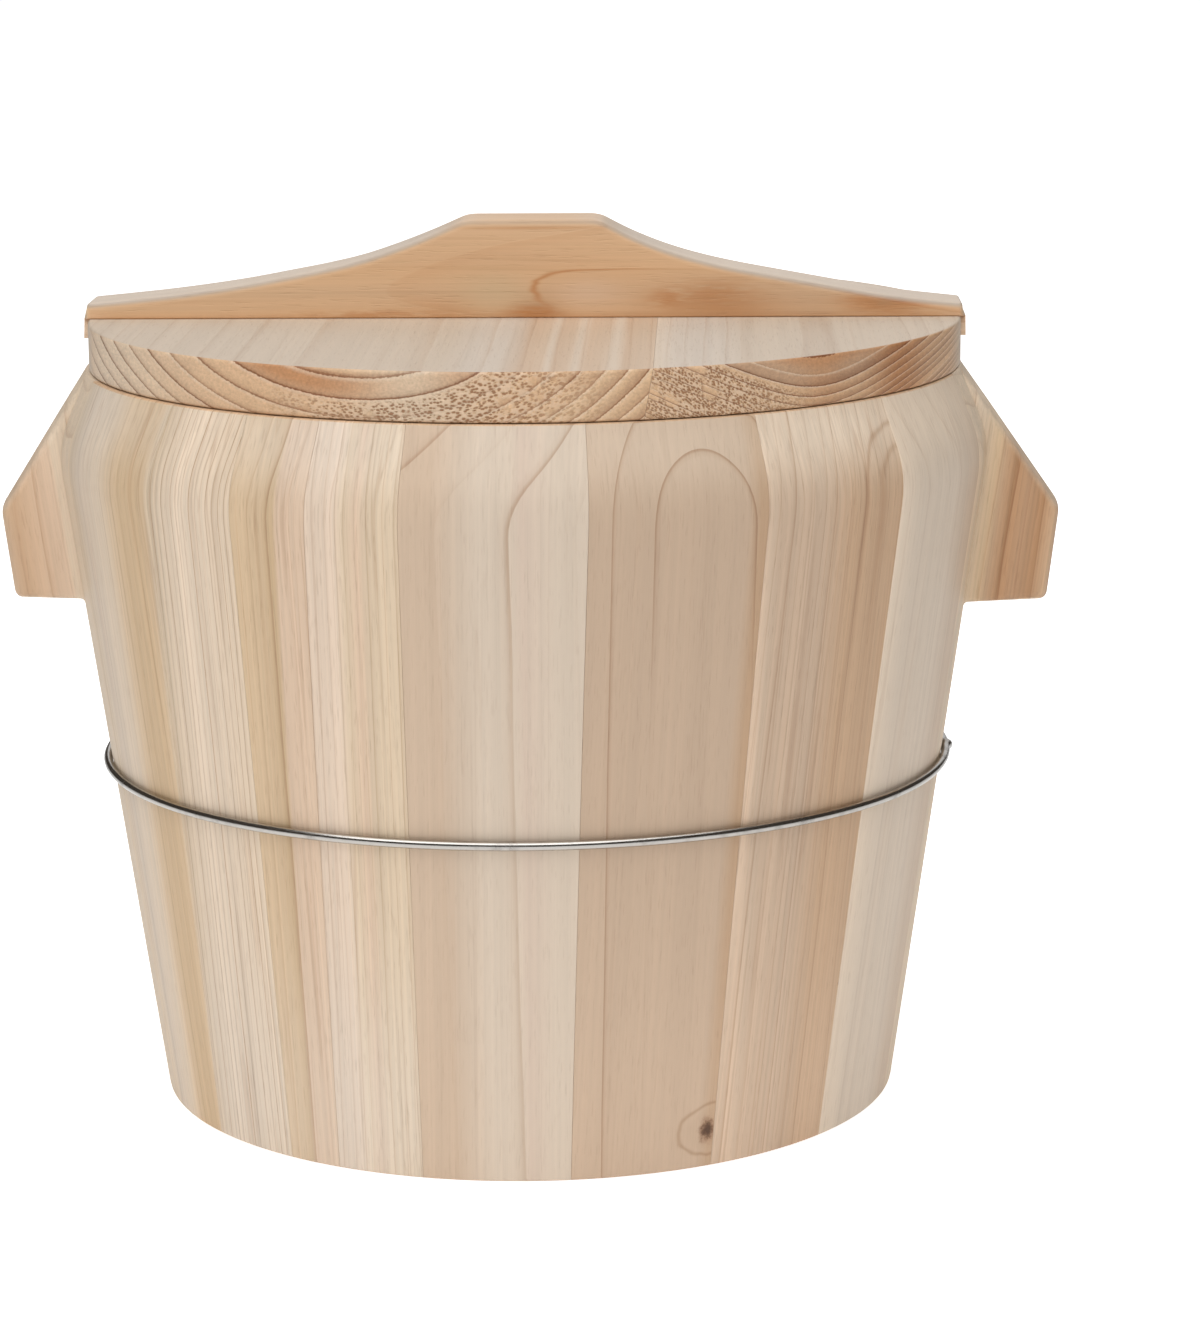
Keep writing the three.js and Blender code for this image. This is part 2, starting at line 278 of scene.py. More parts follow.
def around(x, y, spot):
    a, b, halfA, halfB = spot[:4]
    return ((x - a) / halfA) ** 2 + ((y - b) / halfB) ** 2


def bell(x, y, spot):  # 1 at the spot's middle, fading out
    return around(x, y, spot).fade()


def woodMaterial(name, board):
    g = {**plainGrain, **board}
    material, s = newMaterial(name)
    coords = s.node("ShaderNodeTexCoord", output="Object")
    here = s.vector("SUBTRACT", coords, [c * mm for c in g["origin"]])
    axes = [Vector(g[key]) / mm for key in ("across", "out", "along")]
    across, out, along = [s.vector("DOT_PRODUCT", here, axis, output="Value") for axis in axes]
    local = s.node("ShaderNodeCombineXYZ", {}, {0: across, 1: out, 2: along})

    def noise(kind, output=0):
        cellAcross, cellAlong, detail, rough, slip = grainNoise[kind]
        scale = (1 / cellAcross, 1 / (cellAcross * g["deep"]), 1 / cellAlong)
        start = (3.7 * g["seed"] + slip, 1.9 * g["seed"], 5.3 * slip)
        spot = s.vector("MULTIPLY_ADD", local, scale, start)
        inputs = {"Vector": spot, "Scale": 1, "Detail": detail, "Roughness": rough}
        return s.node("ShaderNodeTexNoise", {}, inputs, output)

    def sway(kind):  # noise to both sides of 0
        return noise(kind) - 0.5

    def toward(colour, key, strength):  # part of the way to a tone
        return s.mix(strength, colour, tone(key, g["gain"]))

    def shaded(colour, tint, strength=1):
        return s.mix(strength, colour, tint, "MULTIPLY")

    def spotted(colour, spots, cover=None):
        for spot in spots:
            strength = bell(across, along, spot) * spot[5]
            colour = toward(colour, spot[4], strength * cover if cover else strength)
        return colour

    # growth rings round the pith
    bendAcross, bendOut = noise("bend", "Color").parts()[:2]
    fromPithX = across - along * g["lean"][0] - g["pith"][0] + (bendAcross - 0.5) * (2 * g["wander"])
    fromPithY = out - along * g["lean"][1] - g["pith"][1] + (bendOut - 0.5) * (2 * g["wander"])
    sideways = fromPithX * g["squash"]
    if g["fold"]:
        radius = (sideways ** 2 + g["fold"] ** 2) ** 0.5 - fromPithY
    else:
        radius = (sideways ** 2 + fromPithY ** 2) ** 0.5
    jitter = s.node("ShaderNodeTexNoise", {"noise_dimensions": "1D"},
                    {"W": radius * (0.37 / g["ringWidth"]) + 11.3 * g["seed"], "Scale": 1, "Detail": 1})
    age = (radius / g["ringWidth"]) ** g["growth"] + (jitter - 0.5) * (2 * g["uneven"]) + g["ringShift"]
    rise = g["lateRise"]
    lateStops = [(rise + (1 - rise) * part, value) for part, value in ringShapes["late"]]
    late = s.math("FRACT", age).ramp([(0, 0), *lateStops])

    def inTurn(force):
        turn = s.math("FRACT", (s.math("FLOOR", age) + 0.5) / len(force))
        return turn.ramp([(k / len(force), f) for k, f in enumerate(force)], "CONSTANT")

    pick = inTurn(g["ringForce"])
    if g["lowForce"]:
        low = inTurn(g["lowForce"])
        pick = low + (pick - low) * along.step(*g["lowBetween"])
    endRing = s.math("FRACT", age + sway("ragged") * 0.16)
    endLate = endRing.ramp(ringShapes["end"]) * pick
    if g["broadFrom"]:
        broad = endRing.ramp(ringShapes["broadEnd"]) * pick
        endLate = endLate + (broad - endLate) * across.step(*g["broadFrom"])

    # tone from edge to edge
    if g["fan"]:
        x, y, z = coords.parts()
        onBack = g["fan"][0][0] > 90
        turn = s.math("ARCTAN2", x * -1, y) + math.pi if onBack else s.math("ARCTAN2", x, y * -1)
        climb = z / (shoulderHeight * mm)
        first, last = [climb * math.radians(top - foot) + math.radians(foot) for foot, top in g["fan"]]
        place = (turn - first) / (last - first)
    else:
        place = {"across": across, "out": out}[g["toneAxis"]] / g["width"] + 0.5
    place = place + along * g["toneLean"] + sway("drift") * (2 * g["toneWander"])
    colour = place.ramp([(position, tone(key, g["gain"])) for position, key in g["tones"]])
    # stains, and painted light: the staves' paler shoulders and feet and the shade along the batten's foot
    colour = spotted(colour, g["stainsAndPaintedLight"])
    if g["patches"]:
        colour = spotted(colour, g["patches"], noise("broken").step(0.3, 0.58))

    # end grain, where a face is turned to the fibres' ends
    normal = s.node("ShaderNodeTexCoord", output="Normal")
    facing = abs(s.vector("DOT_PRODUCT", normal, g["along"], output="Value"))
    end = facing.step(*g["endFacing"])
    endStops = [(reach / grainLook["endReach"], tone(key, g["gain"])) for reach, key in g["endTones"]]
    endColour = (radius / grainLook["endReach"]).ramp(endStops)
    colour = s.mix(end * grainLook["endCover"], colour, endColour)
    colour = spotted(colour, g["endStains"], end)
    colour = shaded(colour, g["lateTint"], late * pick * (1 - end) * g["lateDepth"])
    if g["torn"]:
        middle, half = g["torn"]
        torn = (((across - middle) / half) ** 4).fade() * end * noise("torn").step(0.3, 0.46)
        torn = torn * radius.step(g["tornFrom"], g["tornFrom"] + 2)
        endLate = endLate * (1 - torn * g["tornFade"])
    # painted highlight: end grain painted pale just after each dark ring line
    ringStartHighlight = (1 - endRing.step(0.02, 0.22)) * pick * end
    colour = toward(colour, "cream", ringStartHighlight * grainLook["ringStartHighlightStrength"])
    colour = shaded(colour, grainLook["endRing"], endLate * end * g["endDepth"])

    # painted light: faces turned up are painted paler as a painted highlight, and the edge round the top
    # darker as painted shade
    if g["paintedTopTone"]:
        upward = s.vector("DOT_PRODUCT", normal, (0, 0, 1), output="Value")
        paintedTopLight = upward.step(0.1, 0.95) * grainLook["paintedTopCover"]
        if g["paintedTopSpared"]:
            middle, half, strength = g["paintedTopSpared"]
            paintedTopLight = paintedTopLight * (1 - (((along - middle) / half) ** 4).fade() * strength)
        colour = toward(colour, g["paintedTopTone"], paintedTopLight)
        edge = upward.step(0.15, 0.6) * (1 - upward.step(0.75, 1))
        colour = shaded(colour, 1 - edge * g["paintedEdgeShade"])

    # streaks, hairs and flecks along the fibres, grit at their ends
    streaks = noise("streak")
    shade = (streaks - 0.5) * (3.2 * g["streak"]) + sway("band") * (2.4 * g["streak"]) + 1
    colour = shaded(colour, shade)
    hairs = (1 - abs(sway("hair")).step(0, 0.03)) * noise("hairGap").step(0.35, 0.6)
    colour = shaded(colour, grainLook["hair"], hairs * g["hair"] * (1 - end))
    dashes = noise("fleck").step(0.58, 0.74)
    colour = shaded(colour, grainLook["fleck"], dashes * g["fleck"] * (1 - end))
    colour = shaded(colour, sway("grit") * grainLook["grit"] + 1, end)
    height = streaks * 0.35 + late * 0.25 - dashes * 0.3
    roughness = g["roughness"] + (streaks - 0.5) * 0.16 - late * 0.06

    # rough end grain, torn out between the hard rings, its pits painted dark as painted shade and the crumbs
    # beside them painted pale as painted highlights, besides their bump
    if g["torn"]:
        rough = torn * (1 - endLate.step(0.4, 0.7))
        swing = across if g["fold"] else s.math("ARCTAN2", sideways, fromPithY) * grainLook["pitTurn"]
        cell = [place / size for place, size in zip((radius, swing, along), grainLook["pitCell"])]
        spot = s.node("ShaderNodeCombineXYZ", {}, dict(enumerate(cell)))
        pits = s.node("ShaderNodeTexVoronoi", {}, {"Vector": spot, "Scale": 1}, "Distance")
        pits = pits + sway("pit") * 0.5
        pitShade = (1 - pits.step(0.34, 0.48)) * rough
        crumbHighlight = pits.step(0.5, 0.66) * rough
        colour = toward(colour, "blush", crumbHighlight * 0.6)
        colour = toward(colour, "bark", pitShade * 0.85)
        height = height - pitShade * 2.4 + crumbHighlight * 1.6

    for x, y, halfX, halfY, key in g["eyes"]:
        blunt = abs((across - x) / halfX) ** 5 + abs((along - y) / halfY) ** 5
        reach = blunt ** 0.2 + sway("eye") * 0.35
        line = (((reach - 1) / 0.04) ** 2).fade() + (1 - reach.step(0.9, 1)) * 0.1
        line = line * (1 - along.step(y - halfY * 0.5, y + halfY)) * across.step(1, x)
        colour = toward(colour, key, line * 0.8)

    for x, y, half, climb, strength in g["arches"]:
        over = s.math("MAXIMUM", (along - y) / climb, 0)
        reach = (((across - x) / half) ** 2 + over ** 2) ** 0.5 + sway("arch") * 0.25
        line = (((reach - 1) / 0.05) ** 2).fade() + (((reach - 0.6) / 0.06) ** 2).fade() * 0.8
        line = line * along.step(y - 5 * climb, y) * strength
        colour = shaded(colour, g["lateTint"], line)

    # knots: a dark heart and one ring that bends round it
    for knot in g["knots"]:
        reach = around(across, along, knot) ** 0.5 + sway("knot") * 1.1
        colour = toward(colour, "bark", (1 - reach.step(0.3, 1.15)) * 0.8)
        colour = toward(colour, "umber", 1 - reach.step(0.2, 0.8))
        if knot[4]:
            ringSpot = (*knot[:2], knot[4], knot[4] * 0.85)
            bent = around(across, along, ringSpot) ** 0.5 + sway("knotRing") * 0.5
            line = (((bent - 1) / 0.07) ** 2).fade() + (1 - bent.step(0.55, 1)) * 0.2
            colour = shaded(colour, grainLook["knotRing"], line * 0.6)

    bump = s.node("ShaderNodeBump", {}, {**grainLook["bump"], "Height": height})
    surfaceOutput(s, {"Base Color": colour, "Roughness": roughness, "Normal": bump,
                      "Specular IOR Level": 0.5})
    return material


# Drawn steel wire, bright where it has been handled
wireFinish = {
    "bright": (0.56, 0.54, 0.51, 1),
    "dull": (0.3, 0.28, 0.26, 1),
    "roughness": 0.18,
    "drawnLines": 9000,  # lines to the metre round the wire
    "lineTurn": 6,
    "spots": 160,
    "bump": {"Strength": 0.15, "Distance": 0.0001},
}


def wireMaterial(name):
    material, s = newMaterial(name)
    coords = s.node("ShaderNodeTexCoord", output="Object")
    x, y, z = coords.parts()
    turn = s.math("ARCTAN2", x, y) * wireFinish["lineTurn"]
    reach = (x ** 2 + y ** 2) ** 0.5
    fine = wireFinish["drawnLines"]
    drawn = s.node("ShaderNodeCombineXYZ", {}, {0: reach * fine, 1: z * fine, 2: turn})
    lines = s.node("ShaderNodeTexNoise", {}, {"Vector": drawn, "Scale": 1, "Detail": 2})
    spots = s.node("ShaderNodeTexNoise", {}, {"Vector": coords, "Scale": wireFinish["spots"], "Detail": 3})
    tarnish = spots.step(0.5, 0.75) * 0.5 + lines * 0.25
    colour = s.mix(tarnish, wireFinish["bright"], wireFinish["dull"])
    bump = s.node("ShaderNodeBump", {}, {**wireFinish["bump"], "Height": lines})
    surfaceOutput(s, {"Base Color": colour, "Metallic": 1.0, "Normal": bump,
                      "Roughness": wireFinish["roughness"] + tarnish * 0.18})
    return material


smoothAngle = 32  # edges that turn by more stay sharp


# A closed mesh from points in mm
def makePiece(name, points, faces, smoothTo=smoothAngle):
    shape = bmesh.new()
    corners = [shape.verts.new(Vector(p) * mm) for p in points]
    for face in faces:
        shape.faces.new([corners[i] for i in face])
    bmesh.ops.remove_doubles(shape, verts=shape.verts, dist=2e-6)
    bmesh.ops.recalc_face_normals(shape, faces=shape.faces)
    mesh = bpy.data.meshes.new(name)
    shape.to_mesh(mesh)
    shape.free()
    piece = newObject(name, mesh)
    softEdges(mesh, smoothTo)
    return piece


def newObject(name, data):
    made = bpy.data.objects.new(name, data)
    bpy.context.scene.collection.objects.link(made)
    return made


def softEdges(mesh, smoothTo):
    mesh.polygons.foreach_set("use_smooth", [True] * len(mesh.polygons))
    mesh.set_sharp_from_angle(angle=math.radians(smoothTo))


def dress(piece, node, body, material):
    piece.data.materials.append(material)
    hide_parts(node)
    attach(piece, body)


# Faces between rows of points that all have the same count
def gridFaces(rows, columns, closedRows=False, closedColumns=False):
    faces = []
    for i in range(rows if closedRows else rows - 1):
        for j in range(columns if closedColumns else columns - 1):
            a, b = i * columns, (i + 1) % rows * columns
            k = (j + 1) % columns
            faces.append((a + j, a + k, b + k, b + j))
    return faces


# The same as a closed tube, with both of its ends filled
def tubeFaces(rows, columns, closedRows):
    count = rows * columns
    if closedRows:
        ends = [range(0, count, columns), range(columns - 1, count, columns)]
    else:
        ends = [range(columns), range(count - columns, count)]
    return gridFaces(rows, columns, closedRows, not closedRows) + [list(end) for end in ends]


def curve(a, control, b, steps):
    points = []
    for i in range(steps + 1):
        t = i / steps
        weights = ((1 - t) ** 2, 2 * t * (1 - t), t * t)
        points.append(tuple(sum(w * p[k] for w, p in zip(weights, (a, control, b))) for k in (0, 1)))
    return points


# An outline of (x, z, round) corners with its corners rounded
def rounded(corners, closed=True, steps=4):
    points = []
    count = len(corners)
    for i, (x, z, size) in enumerate(corners):
        if size == 0 or (not closed and i in (0, count - 1)):
            points.append((x, z))
            continue
        here = Vector((x, z))
        before = Vector(corners[i - 1][:2])
        after = Vector(corners[(i + 1) % count][:2])
        start = here + (before - here).normalized() * size
        end = here + (after - here).normalized() * size
        points += curve(start, here, end, steps)
    return points


# The tub, in mm, as turned
tub = {
    "height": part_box("front_stave_5")[1].z / mm,
    "baseRadius": 117.6,
    "shoulderRadius": 147.5,
    "shoulderDrop": 22.5,
    "shoulderBlend": 9,
    "wall": 20,
    "rimWidth": 7.3,
    "rimEase": 0.7,
    "footEase": 1.5,
    "jointGap": 0.05,  # planed tight
    "jointEase": 0.1,
    "columnTurn": 1.1,  # degrees from one column of points to the next
    "earStaveWidth": 84,
    "frontWidths": [60, 32, 27, 30, 57, 56, 56, 59],
    # how far the front joints run askew, in degrees at the foot and at the shoulder
    "askew": [(-5.2, 0.6), (-1, 1.7), (-2.7, 1.4), (-0.8, 1), (-1.1, 0.3), (-1.2, 0.1), (-1.3, -0.4)],
    "backWidths": [41, 59, 51, 62, 49, 64, 51],
}
shoulderHeight = tub["height"] - tub["shoulderDrop"]
taper = (tub["shoulderRadius"] - tub["baseRadius"]) / shoulderHeight
earHalf = math.degrees(math.asin(tub["earStaveWidth"] / 2 / tub["shoulderRadius"]))


def outerAt(z):
    return tub["baseRadius"] + taper * z


def innerAt(z):
    return outerAt(z) - tub["wall"]


rimRadius = innerAt(tub["height"]) + tub["rimWidth"]


# Outside of the wall from the foot to the rim, then over the rim and down the inside
def wallOutline(rows=8, longSide=100):
    top = tub["height"]
    corners = [
        (innerAt(0), 0, tub["rimEase"]),
        (tub["baseRadius"], 0, tub["footEase"]),
        (tub["shoulderRadius"], shoulderHeight, tub["shoulderBlend"]),
        (rimRadius, top, tub["rimEase"]),
        (innerAt(top), top, tub["rimEase"]),
    ]
    points = rounded(corners, steps=6)
    outline = []
    for (r, z), (nextR, nextZ) in zip(points, points[1:] + points[:1]):
        parts = rows if abs(nextZ - z) > longSide else 1
        outline += [(r + (nextR - r) * t / parts, z + (nextZ - z) * t / parts) for t in range(parts)]
    return outline


# Two joints for each stave, both with their angles at the foot and at the shoulder
def staveJoints():
    arc = 180 - 2 * earHalf
    straight = [(0, 0)] * (len(tub["backWidths"]) + 1)
    askew = [(0, 0), *tub["askew"], (0, 0)]
    staves = []
    for widths, start, shifts in ((tub["frontWidths"], earHalf - 90, askew),
                                  (tub["backWidths"], 90 + earHalf, straight)):
        turns = [start + arc * sum(widths[:i]) / sum(widths) for i in range(len(widths) + 1)]
        joints = [(turn + foot, turn + shoulder) for turn, (foot, shoulder) in zip(turns, shifts)]
        staves += zip(joints, joints[1:])
    return staves


def jointAt(joint, z):
    return joint[0] + (joint[1] - joint[0]) * z / shoulderHeight


# One stave: the wall's outline swept from joint to joint, with its long edges just broken
def makeStave(name, start, end):
    outline = wallOutline()
    columns = max(10, int((end[0] - start[0]) / tub["columnTurn"]))
    inset = [0] + [1] * (columns + 1) + [0]
    turns = [0] + [j / columns for j in range(columns + 1)] + [1]
    points = []
    for r, z in outline:
        outside = r > innerAt(z) + 1
        first, last = jointAt(start, z), jointAt(end, z)
        for j, t in enumerate(turns):
            ease = tub["jointEase"] if inset[j] else 0
            gap = math.degrees((tub["jointGap"] / 2 + ease) / r)
            angle = math.radians(first + gap + (last - first - 2 * gap) * t)
            reach = r - (tub["jointEase"] if outside and not inset[j] else 0)
            points.append((reach * math.sin(angle), -reach * math.cos(angle), z))
    return makePiece(name, points, tubeFaces(len(outline), len(turns), True))


# Ears, in mm: how far they reach from the wall, how low their tip is and how tall their face is
ears = {
    "width": 48,
    "round": 2.6,
    "tipRound": 1.6,
    "fillet": 1.4,
    "faceLean": 7.2,
    "underRise": 2,
    "smoothTo": 38,
    "left": {"side": -1, "reach": 20.9, "drop": 43.3, "face": 27.2},
    "right": {"side": 1, "reach": 25.3, "drop": 45.5, "face": 28.8},
}


# An ear's outline from the corner below it, over its face and up the slope to the rim
def earOutline(ear):
    tipHeight = tub["height"] - ear["drop"]
    tipRadius = outerAt(tipHeight) + ear["reach"]
    lowHeight = tipHeight - ear["face"]
    lowRadius = tipRadius - ear["face"] * math.tan(math.radians(ears["faceLean"]))
    rise = math.tan(math.radians(ears["underRise"]))
    cornerHeight = lowHeight - (lowRadius - outerAt(lowHeight)) * rise
    foot = cornerHeight - ears["fillet"]
    corners = [
        (outerAt(foot), foot, 0),
        (outerAt(cornerHeight), cornerHeight, ears["fillet"] * 0.98),
        (lowRadius, lowHeight, ears["round"]),
        (tipRadius, tipHeight, ears["tipRound"]),
        (rimRadius, tub["height"], 0),
    ]
    return rounded(corners, closed=False, steps=6), lowHeight


# An ear stave: the wall's outline with the ear's rows let in, and each row run over the width
def makeEarStave(name, ear):
    midWall, insideWall = 11, 5  # from the inner face
    nearWall, tiny, flankSteps = 0.4, 0.01, 6
    outline = wallOutline()
    peak = max(range(len(outline)), key=lambda i: outline[i][0])
    line, lowHeight = earOutline(ear)
    wallLine = [p for p in outline if p[0] > outerAt(p[1]) - nearWall and p[1] <= shoulderHeight]
    wallLine += [p for p in outline[peak:] if p[1] >= shoulderHeight and p[0] >= rimRadius - tiny]

    def along(points, z):  # radius of a line of points at a height
        for (r0, z0), (r1, z1) in zip(points, points[1:]):
            if z0 <= z <= z1:
                return r0 + (r1 - r0) * (z - z0) / max(z1 - z0, 1e-9)
        return points[-1][0]

    rows = []
    foot = line[0][1]
    for r, z in outline:
        outside = r > innerAt(z) + midWall and tub["footEase"] < z < tub["height"] - tiny
        if not outside or z < foot:
            rows.append((r, z, 0, 0))
        elif z > line[-2][1]:
            rows.append((r, z, along(line, z) - r, 0))
    earRows = []
    for k, (r, z) in enumerate(line[:-1]):
        before, after = line[max(k - 1, 0)], line[k + 1]
        flat = (after[0] - before[0]) / max(math.hypot(after[0] - before[0], after[1] - before[1]), 1e-9)
        under = max(0, flat) if z < lowHeight else max(0, 1 - 0.98 * (z - lowHeight) / ears["round"])
        wallRadius = outerAt(z) if z < shoulderHeight - tub["shoulderBlend"] else along(wallLine, z)
        earRows.append((wallRadius, z, max(0, r - wallRadius), under))
    above = [z > foot and r > innerAt(z) + insideWall for r, z, h, under in rows]
    firstAbove = above.index(True)
    rows = rows[:firstAbove] + earRows + rows[firstAbove:]

    half = ears["width"] / 2
    bends = [math.radians(a) for a in (0, 22.5, 45, 67.5, 90)]
    middle = [-0.75, -0.5, -0.25, 0, 0.25, 0.5, 0.75]
    points = []
    for r, z, h, under in rows:
        edge = r * math.sin(math.radians(earHalf)) - tub["jointGap"] / 2
        size = min(ears["round"], h)
        left = [(-edge + (edge - half) * t / flankSteps, 0, 0) for t in range(flankSteps)]
        left.append((-half, 0, size * under))
        arc = []
        for bend in bends:
            drop = size * (1 - math.sin(bend))
            arc.append((-half + ears["round"] * (1 - math.cos(bend)), max(0, h - drop), drop * under))
        flatHalf = half - ears["round"]
        centre = [(flatHalf * t, h, 0) for t in middle]
        side = left + arc
        across = side + centre + [(-y, up, lift) for y, up, lift in reversed(side)]
        for y, up, lift in across:
            wallRadius = r + taper * lift
            x = math.sqrt(wallRadius * wallRadius - y * y) + up
            points.append((ear["side"] * x, y, z + lift))
    return makePiece(name, points, tubeFaces(len(rows), len(across), True), ears["smoothTo"])


# A stave's own axes: up its outer face, over its width and out of the face
def staveAxes(start, end):
    foot, shoulder = [math.radians((start[i] + end[i]) / 2) for i in (0, 1)]
    turn = (foot + shoulder) / 2
    lean = math.atan(taper)
    outward = Vector((math.sin(turn), -math.cos(turn), 0))
    up = Vector((0, 0, 1))
    across = Vector((math.cos(turn), math.sin(turn), 0))
    along = up * math.cos(lean) + outward * math.sin(lean)
    askew = math.atan((shoulder - foot) * outerAt(0.5 * shoulderHeight) / shoulderHeight)
    tilt = Matrix.Rotation(askew, 3, across.cross(along) * -1)
    return {
        "origin": Vector((math.sin(foot), -math.cos(foot), 0)) * tub["baseRadius"],
        "along": tilt @ along,
        "across": tilt @ across,
        "out": outward * math.cos(lean) - up * math.sin(lean),
        "fan": (start, end),
        "deep": 10,
    }


# Painted light: where most staves are painted paler, on the shoulder's chamfer for the light from above and
# at the foot for the floor's bounce light: (across, along, half width, half length)
paintedShoulderLight = (0, 228, 60, 13)
paintedFootBounce = (0, 15, 60, 50)

# Boards of the front, from the left ear to the right one
frontBoards = [
    {"tones": [(0, "beige"), (0.2, "mist"), (0.5, "pale"), (0.66, "sand"), (0.73, "tan"), (0.9, "tan"),
               (0.97, "sand"), (1, "beige")],
     "toneWander": 0.04, "pith": (150, -20), "ringWidth": 4.2, "lateDepth": 0.35, "wander": 3,
     "streak": 0.12, "gain": 1.03, "stainsAndPaintedLight": [(*paintedShoulderLight, "chalk", 0.35)]},
    {"tones": [(0, "beige"), (0.14, "pale"), (0.4, "cream"), (1, "pale")], "toneWander": 0.15,
     "pith": (190, 10), "ringWidth": 2.4, "lateDepth": 1, "wander": 2, "uneven": 0.5, "streak": 0.15,
     "stainsAndPaintedLight": [(*paintedFootBounce, "chalk", 0.4)]},
    {"tones": [(0, "sand"), (0.3, "sand"), (0.42, "tan"), (0.46, "tan"), (0.52, "blush"), (1, "blush")],
     "toneWander": 0.04, "toneLean": -0.0006, "pith": (-60, -20), "ringWidth": 6.2, "ringShift": 0.73,
     "lateDepth": 0.6, "wander": 1.5, "uneven": 0.1, "streak": 0.13,
     "ringForce": [0.3, 0.5, 1, 0.35, 0.3, 0.4, 0.3, 0.3],
     "stainsAndPaintedLight": [(*paintedShoulderLight, "chalk", 0.4), (*paintedFootBounce, "chalk", 0.25)]},
    {"tones": [(0, "petal"), (0.3, "petal"), (0.42, "beige"), (0.55, "blush"), (0.68, "beige"),
               (1, "beige")],
     "toneWander": 0.06, "pith": (140, -15), "ringWidth": 3.1, "lateDepth": 0.5, "wander": 2, "uneven": 0.8,
     "streak": 0.13, "stainsAndPaintedLight": [(*paintedShoulderLight, "chalk", 0.35), (*paintedFootBounce, "chalk", 0.45)]},
    {"tones": [(0, "fawn"), (0.25, "fawn"), (0.5, "mist"), (0.68, "mist"), (0.74, "dove"), (0.9, "mist"),
               (1, "mist")],
     "toneWander": 0.05, "toneLean": 0.0004, "pith": (-38.2, -76), "lean": (-0.024, 0), "ringWidth": 9.5,
     "ringShift": 0.57, "lateDepth": 0.62, "lateRise": 0.8, "wander": 1.5, "uneven": 0.02, "streak": 0.07,
     "ringForce": [0.15, 1, 0.1, 0.3, 0.3, 0.3, 0.3, 0.9],
     "lowForce": [0.1, 0.6, 0.1, 0.2, 0.2, 0.2, 0.2, 0.5], "hair": 0.12, "fleck": 0.1},
    {"tones": [(0, "rose"), (0.88, "rose"), (0.96, "rust"), (1, "rust")], "gain": 0.93, "toneWander": 0.03,
     "pith": (16.3, 13), "lean": (-0.039, 0), "ringWidth": 11.2, "ringShift": 0.07, "lateDepth": 0.8,
     "lateRise": 0.88, "wander": 1.2, "uneven": 0.02, "streak": 0.06, "ringForce": [0.2, 0.9, 0.8, 0.4],
     "lowForce": [0.1, 0.1, 0.85, 0.3], "hair": 0.07, "fleck": 0.12, "knots": [(20.3, 12.5, 3.4, 4.8, 10)],
     "stainsAndPaintedLight": [(*paintedShoulderLight, "cream", 0.5), (*paintedFootBounce, "blush", 0.3)]},
    {"tones": [(0, "fawn"), (0.1, "blush"), (0.17, "fawn"), (0.22, "rose"), (0.5, "rose"), (0.72, "rust"),
               (1, "rust")],
     "toneWander": 0.03, "toneLean": 0.0006, "pith": (-90, -30), "ringWidth": 5.2, "lateDepth": 0.5,
     "wander": 2.5, "uneven": 0.6, "streak": 0.13, "arches": [(27, 211, 17, 16, 0.5)],
     "knots": [(23.5, 51, 0.7, 1.4, 0)],
     "stainsAndPaintedLight": [(*paintedShoulderLight, "cream", 1), (*paintedFootBounce, "blush", 0.3)]},
    {"tones": [(0, "cream"), (0.22, "mist"), (0.6, "mist"), (1, "fawn")], "gain": 1.02,
     "pith": (60, -60), "ringWidth": 8, "lateDepth": 0.2, "wander": 3, "streak": 0.07, "hair": 0.15,
     "stainsAndPaintedLight": [(*paintedShoulderLight, "cream", 0.85)]},
]

backBoards = [
    {"tones": [(0, "beige"), (1, "pale")], "pith": (80, -20), "ringWidth": 3.5},
    {"tones": [(0, "rose"), (1, "rose")], "pith": (-6, 14), "ringWidth": 9, "lateDepth": 0.5},
    {"tones": [(0, "cream"), (0.6, "pale"), (1, "blush")], "pith": (-150, 0), "ringWidth": 2.6},
    {"tones": [(0, "sand"), (0.5, "beige"), (1, "pale")], "pith": (20, -70), "ringWidth": 8},
    {"tones": [(0, "pale"), (0.7, "pale"), (0.8, "tan"), (1, "tan")], "pith": (90, -30), "ringWidth": 5},
    {"tones": [(0, "blush"), (1, "rose")], "pith": (8, 16), "ringWidth": 10, "lateDepth": 0.5},
    {"tones": [(0, "ash"), (1, "pale")], "pith": (-120, -10), "ringWidth": 3},
]

for index, (start, end) in enumerate(staveJoints()):
    onFront = index < len(frontBoards)
    number = index if onFront else index - len(frontBoards)
    label = f"{'front' if onFront else 'back'}_stave_{number + 1}"
    board = (frontBoards if onFront else backBoards)[number]
    stave = makeStave(label + "_board", start, end)
    wood = woodMaterial(label + "_wood", {**staveAxes(start, end), "seed": index + 1, **board})
    dress(stave, label, "tub", wood)
print("staves made")

